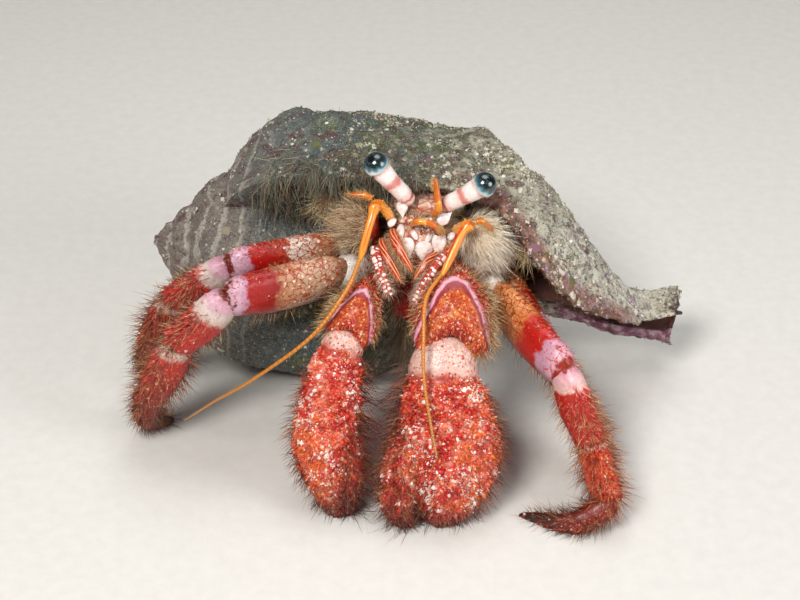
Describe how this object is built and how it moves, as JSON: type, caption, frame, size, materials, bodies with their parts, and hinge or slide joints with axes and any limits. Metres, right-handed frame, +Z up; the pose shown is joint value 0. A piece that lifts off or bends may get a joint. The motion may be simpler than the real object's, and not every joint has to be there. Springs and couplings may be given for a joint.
{
  "type": "hermit crab",
  "caption": "Still, life-size hermit crab standing in the mouth of a large knobbed sea-snail shell, claws lowered in front, eyes and feelers raised.",
  "frame": {"origin": "on the floor, under the middle of the model's bounding box", "axes": "+Z up; the crab faces -Y; +X is the crab's left, along the shell towards its canal"},
  "size_m": [0.1338, 0.106, 0.0742],
  "materials": {
    "shell": "rough, overgrown limestone shell",
    "abdomen": "soft bare skin",
    "cornea": "wet gloss",
    "eyestalk": "smooth satin",
    "feelers": "smooth satin",
    "mouthparts": "satin with pale lines",
    "flanks": "hairy",
    "shield": "satin, granular",
    "claw_hands": "rough with granules",
    "claw_arms": "satin, granular",
    "small_legs": "satin, hairy",
    "leg_ends": "satin, hairy",
    "leg_tops": "satin"
  },
  "bodies": {
    "root": {"abdomen": "abdomen", "acicle_left": "feelers", "acicle_right": "feelers", "antenna_base_left": "feelers", "antenna_base_right": "feelers", "antenna_left": "feelers", "antenna_right": "feelers", "antennule_left": "feelers", "antennule_right": "feelers", "carapace": "shield", "claw_left_carpus": "claw_arms", "claw_left_dactyl": "claw_hands", "claw_left_ischium": "claw_arms", "claw_left_merus": "claw_arms", "claw_left_palm": "claw_hands", "claw_right_carpus": "claw_arms", "claw_right_dactyl": "claw_hands", "claw_right_ischium": "claw_arms", "claw_right_merus": "claw_arms", "claw_right_palm": "claw_hands", "cornea_left": "cornea", "cornea_right": "cornea", "eyestalk_left": "eyestalk", "eyestalk_right": "eyestalk", "face": "shield", "flank_left": "flanks", "flank_right": "flanks", "leg2_left_carpus": "leg_tops", "leg2_left_dactyl": "leg_ends", "leg2_left_ischium": "leg_tops", "leg2_left_merus": "leg_tops", "leg2_left_propodus": "leg_ends", "leg2_right_carpus": "leg_tops", "leg2_right_dactyl": "leg_ends", "leg2_right_ischium": "leg_tops", "leg2_right_merus": "leg_tops", "leg2_right_propodus": "leg_ends", "leg3_left_carpus": "leg_tops", "leg3_left_dactyl": "leg_ends", "leg3_left_ischium": "leg_tops", "leg3_left_merus": "leg_tops", "leg3_left_propodus": "leg_ends", "leg3_right_carpus": "leg_tops", "leg3_right_dactyl": "leg_ends", "leg3_right_ischium": "leg_tops", "leg3_right_merus": "leg_tops", "leg3_right_propodus": "leg_ends", "leg4_left": "small_legs", "leg4_right": "small_legs", "leg5_left": "small_legs", "leg5_right": "small_legs", "maxilliped_left": "mouthparts", "maxilliped_right": "mouthparts", "palp_left": "mouthparts", "palp_right": "mouthparts", "shell": "shell", "thorax": "shield"}
  },
  "joints": []
}
